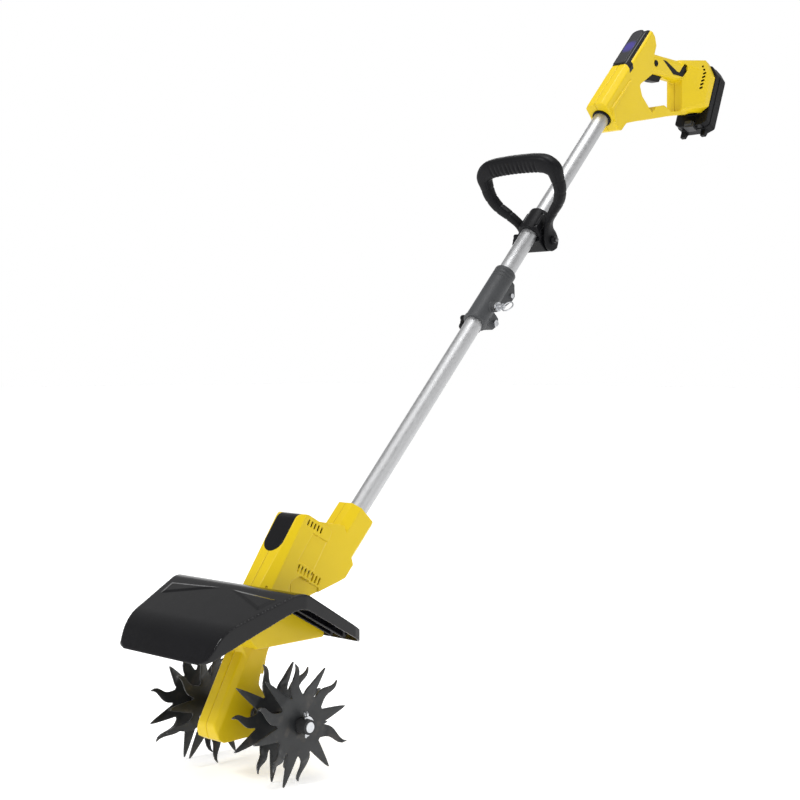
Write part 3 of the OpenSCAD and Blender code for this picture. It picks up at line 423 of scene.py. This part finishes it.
def tine_wheel(node, turn):
    """One wheel with rounded edges and bent spikes; turn is the angle of its first spike in degrees."""
    obj = copy_of(node, node + "_bent")
    bevel = obj.modifiers.new("bevel", "BEVEL")
    bevel.width = EDGE_ROUND
    bevel.segments = 2
    bevel.limit_method = "ANGLE"
    bevel.angle_limit = math.radians(50)
    settle(obj)
    bm = bmesh.new()
    bm.from_mesh(obj.data)
    split_long_edges(bm, LONGEST_EDGE)
    middle_x = sum(v.co.x for v in bm.verts) / len(bm.verts)
    points = np.array([v.co for v in bm.verts])
    for vertex, place in zip(bm.verts, bent_spikes(points, turn, math.copysign(1, middle_x))):
        vertex.co = place
    bm.to_mesh(obj.data)
    bm.free()
    smooth_by_angle(obj.data, 35)
    placed(obj, node)


for disc, disc_turn in (("tine_disc_left_outer", 8), ("tine_disc_left_inner", 21),
                        ("tine_disc_right_inner", -4), ("tine_disc_right_outer", 15)):
    tine_wheel(disc, disc_turn)

# ---------- loop handle ----------
PIVOT = Vector((0, 655.72, 684.67)) * MM
LOOP_OUT = Vector((0, -0.4679, 0.8838))
LOOP_FRONT = Vector((0, -0.8838, -0.4679))
# Along one arm to the middle of the crossbar: side, height above the pivot, half width, half depth in mm
LOOP_STATIONS = [(24.3, -17, 3.9, 8), (24.3, -8, 4, 17), (24.3, 6, 4, 17.5), (25.5, 19, 4.8, 12), (32, 34, 6, 9),
                 (47, 51, 8, 8.5), (64, 68, 9, 9), (73.5, 88, 9.5, 10), (74.5, 108, 10.5, 11),
                 (73, 123, 13, 12.5), (61, 133.5, 15, 13), (44, 137, 15.5, 13), (22, 138.3, 15.5, 13),
                 (0, 138.7, 15.5, 13)]
# Finger ribs round the crossbar: pitch, half length of the ribbed part and depth as a part of the section
RIB_PITCH = 8.4
RIBBED_HALF = 52
RIB_DEPTH = 0.16
# Grooves across each arm: their places as parts of the whole line, half width on that scale, and depth in mm
GROOVES = (0.19, 0.225, 0.26, 0.295)
GROOVE_HALF = 0.0035
GROOVE_DEPTH = 0.9
# Power that turns an ellipse into a soft oblong
OBLONG = 0.72


def spline(points, steps):
    """Even Catmull-Rom samples through the points, ends doubled."""
    rows = np.array([points[0], *points, points[-1]], float)
    result = []
    for i in range(1, len(rows) - 2):
        a, b, c, d = rows[i - 1:i + 3]
        for t in np.linspace(0, 1, steps, endpoint=False):
            result.append(0.5 * (2 * b + (c - a) * t + (2 * a - 5 * b + 4 * c - d) * t ** 2
                                 + (3 * b - a - 3 * c + d) * t ** 3))
    return np.array(result + [rows[-2]])


def loop_surface(sides=40, steps=14):
    """Rings of points round the loop's centre line: soft oblong sections, finger ribs, grooves on the arms."""
    mirrored = [(-x, r, a, b) for x, r, a, b in LOOP_STATIONS[-2::-1]]
    line = spline(LOOP_STATIONS + mirrored, steps)
    rings = []
    for k, (x, r, half_width, half_depth) in enumerate(line):
        ahead, behind = line[min(k + 1, len(line) - 1)], line[max(k - 1, 0)]
        way = np.array([ahead[0] - behind[0], ahead[1] - behind[1]])
        way /= np.hypot(*way)
        inward = np.array([-way[1], way[0]])
        part = min(k, len(line) - 1 - k) / (len(line) - 1)
        cut = GROOVE_DEPTH * max(0.0, 1 - min(abs(part - g) for g in GROOVES) / GROOVE_HALF)
        ribbed = min(1.0, max(0.0, (RIBBED_HALF - abs(x)) / 3)) * (r > 100)
        wave = abs(math.cos(math.pi * x / RIB_PITCH)) ** 0.6
        ring = []
        for j in range(sides):
            angle = 2 * math.pi * j / sides
            c, s = math.cos(angle), math.sin(angle)
            u = math.copysign(abs(c) ** OBLONG, c) * (half_width - cut)
            v = math.copysign(abs(s) ** OBLONG, s) * (half_depth - cut)
            # Ribs run round the lower half of the front face and the inner face
            face = min(1.0, max(0.0, 1.6 * math.cos(angle - 0.9) - 0.35))
            shrink = 1 - RIB_DEPTH * ribbed * face * (1 - wave)
            u, v = u * shrink, v * shrink
            place = np.array([x, r]) + inward * u
            ring.append(PIVOT + (Vector((place[0], 0, 0)) + LOOP_OUT * place[1] + LOOP_FRONT * v) * MM)
        rings.append(ring)
    return rings


def swept(name, rings):
    """A closed tube through the rings."""
    bm = bmesh.new()
    rows = [[bm.verts.new(p) for p in ring] for ring in rings]
    sides = len(rows[0])
    for one, two in zip(rows, rows[1:]):
        for j in range(sides):
            bm.faces.new((one[j], one[(j + 1) % sides], two[(j + 1) % sides], two[j]))
    bm.faces.new(rows[0][::-1])
    bm.faces.new(rows[-1])
    bmesh.ops.recalc_face_normals(bm, faces=bm.faces)
    mesh = bpy.data.meshes.new(name)
    bm.to_mesh(mesh)
    bm.free()
    obj = bpy.data.objects.new(name, mesh)
    bpy.context.scene.collection.objects.link(obj)
    smooth_by_angle(mesh, 60)
    return obj


placed(swept("loop_handle_swept", loop_surface()), "loop_handle")

# ---------- clamps, battery ----------
for part in ("loop_knob", "clamp_knob", "loop_clamp", "loop_clamp_cap", "battery_top_case", "battery_base_case"):
    moulded(part, voxel=0.8, rounds=4)
for part in ("trigger", "lock_button", "tube_ring", "battery_latch", "coupling_sleeve"):
    moulded(part, voxel=0.6, rounds=3)
for part in ("display_bezel", "housing_inlay", "display_window", "grip_inlays"):
    moulded(part, voxel=0.45, rounds=2)

# ---------- camera, floor, light ----------
AZIMUTH = math.radians(43.05)
ELEVATION = math.radians(1.431)
CAMERA_PLACE = (1.4674, -1.2621, 0.4747)
scene = bpy.context.scene
camera = bpy.data.objects.new("camera", bpy.data.cameras.new("camera"))
scene.collection.objects.link(camera)
camera.location = CAMERA_PLACE
camera.rotation_euler = (math.pi / 2 - ELEVATION, 0, AZIMUTH)
camera.data.lens = 63.55
camera.data.sensor_width = 36
scene.camera = camera

FLOOR_HALF = 30.0
floor_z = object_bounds()[0].z - 0.001
floor_mesh = bpy.data.meshes.new("floor")
floor_mesh.from_pydata([(x * FLOOR_HALF, y * FLOOR_HALF, floor_z) for x, y in ((-1, -1), (1, -1), (1, 1), (-1, 1))],
                       [], [(0, 1, 2, 3)])
floor = bpy.data.objects.new("floor", floor_mesh)
scene.collection.objects.link(floor)
floor_nodes = Nodes("Pale_floor")
floor_nodes.link(floor_nodes.mixed(floor_nodes.noise(3.0), (0.96, 0.96, 0.96), (0.985, 0.985, 0.985)),
                 floor_nodes.shader.inputs["Base Color"])
floor_nodes.shader.inputs["Roughness"].default_value = 1.0
floor_nodes.shader.inputs["Specular IOR Level"].default_value = 0.0
floor_nodes.shader.inputs["Emission Color"].default_value = (1, 1, 1, 1)
floor_nodes.shader.inputs["Emission Strength"].default_value = 0.42
dress(floor, floor_nodes.material)


def area_light(name, place, target, size, power):
    """A round soft light, in metres and watts, aimed at the target."""
    light = bpy.data.lights.new(name, "AREA")
    light.shape = "DISK"
    light.size = size
    light.energy = power
    obj = bpy.data.objects.new(name, light)
    obj.location = place
    obj.rotation_euler = (Vector(target) - Vector(place)).to_track_quat("-Z", "Y").to_euler()
    scene.collection.objects.link(obj)


MIDDLE = (0, 0.5, 0.5)
area_light("key", (-0.6, -2.4, 2.6), MIDDLE, 1.0, 50)
area_light("fill", (2.8, 0.2, 1.4), MIDDLE, 1.6, 9)
area_light("top", (0.4, 0.6, 3.4), MIDDLE, 1.6, 34)
area_light("back", (-1.6, 2.6, 1.8), MIDDLE, 1.2, 12)

# White below, grey just above the middle, and a soft bright top
SKY_STOPS = ((0.28, 1.0), (0.44, 0.34), (0.75, 0.4), (1.0, 0.75))
world = bpy.data.worlds.new("studio")
world.use_nodes = True
sky = world.node_tree
split = sky.nodes.new("ShaderNodeSeparateXYZ")
sky.links.new(sky.nodes.new("ShaderNodeTexCoord").outputs["Generated"], split.inputs["Vector"])
ramp = sky.nodes.new("ShaderNodeValToRGB")
ramp.color_ramp.interpolation = "EASE"
for position, value in SKY_STOPS:
    stop = ramp.color_ramp.elements.new(position)
    stop.color = (value, value, value, 1)
ramp.color_ramp.elements[0].color = (1, 1, 1, 1)
sky.links.new(split.outputs["Z"], ramp.inputs["Fac"])
sky.links.new(ramp.outputs["Color"], sky.nodes["Background"].inputs["Color"])
sky.nodes["Background"].inputs["Strength"].default_value = 1.0
scene.world = world
scene.view_settings.view_transform = "Standard"
